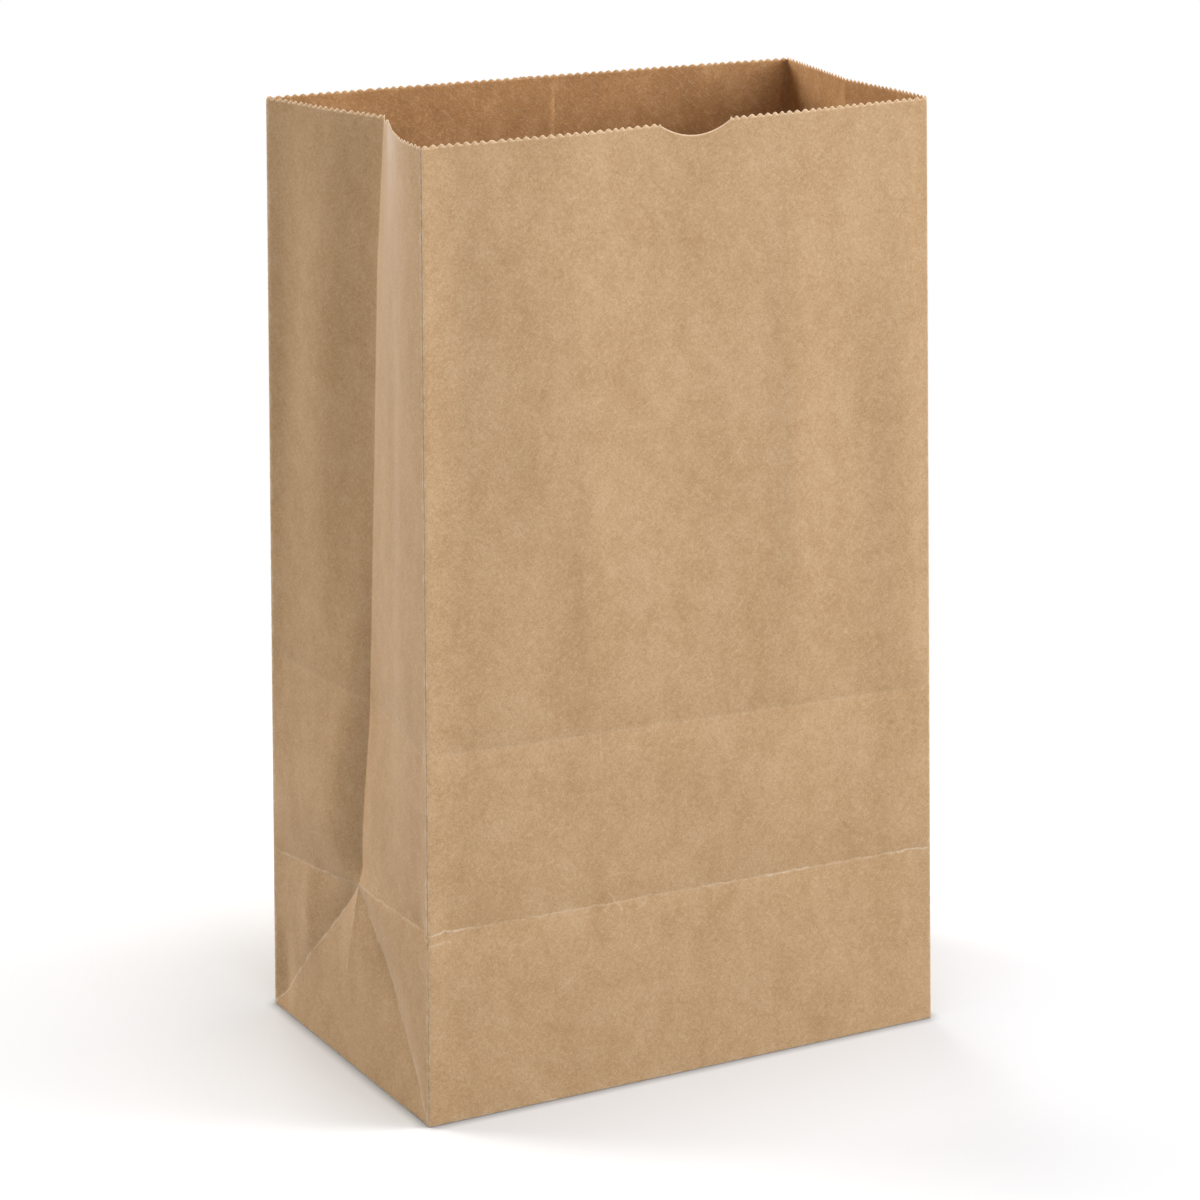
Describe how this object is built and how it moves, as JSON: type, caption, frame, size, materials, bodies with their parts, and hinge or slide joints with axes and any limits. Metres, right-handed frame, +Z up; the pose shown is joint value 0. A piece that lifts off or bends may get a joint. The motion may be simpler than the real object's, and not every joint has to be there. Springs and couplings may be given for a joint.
{
  "type": "paper lunch bag",
  "caption": "Open brown kraft paper bag with side gussets, a folded flat base, a pinked mouth and a thumb notch. It stands empty, ready to hold a packed lunch.",
  "frame": {"origin": "middle of the base's underside, on the surface the bag stands on", "axes": "+Z up towards the mouth, +X along the front panel to its right as seen from the front, -Y out of the front panel, the one with the thumb notch"},
  "size_m": [0.16, 0.1013, 0.25],
  "materials": {
    "kraft_paper": "matte unbleached kraft paper with a faint machine gloss"
  },
  "bodies": {
    "root": {"paper_bag": "kraft_paper"}
  },
  "joints": []
}
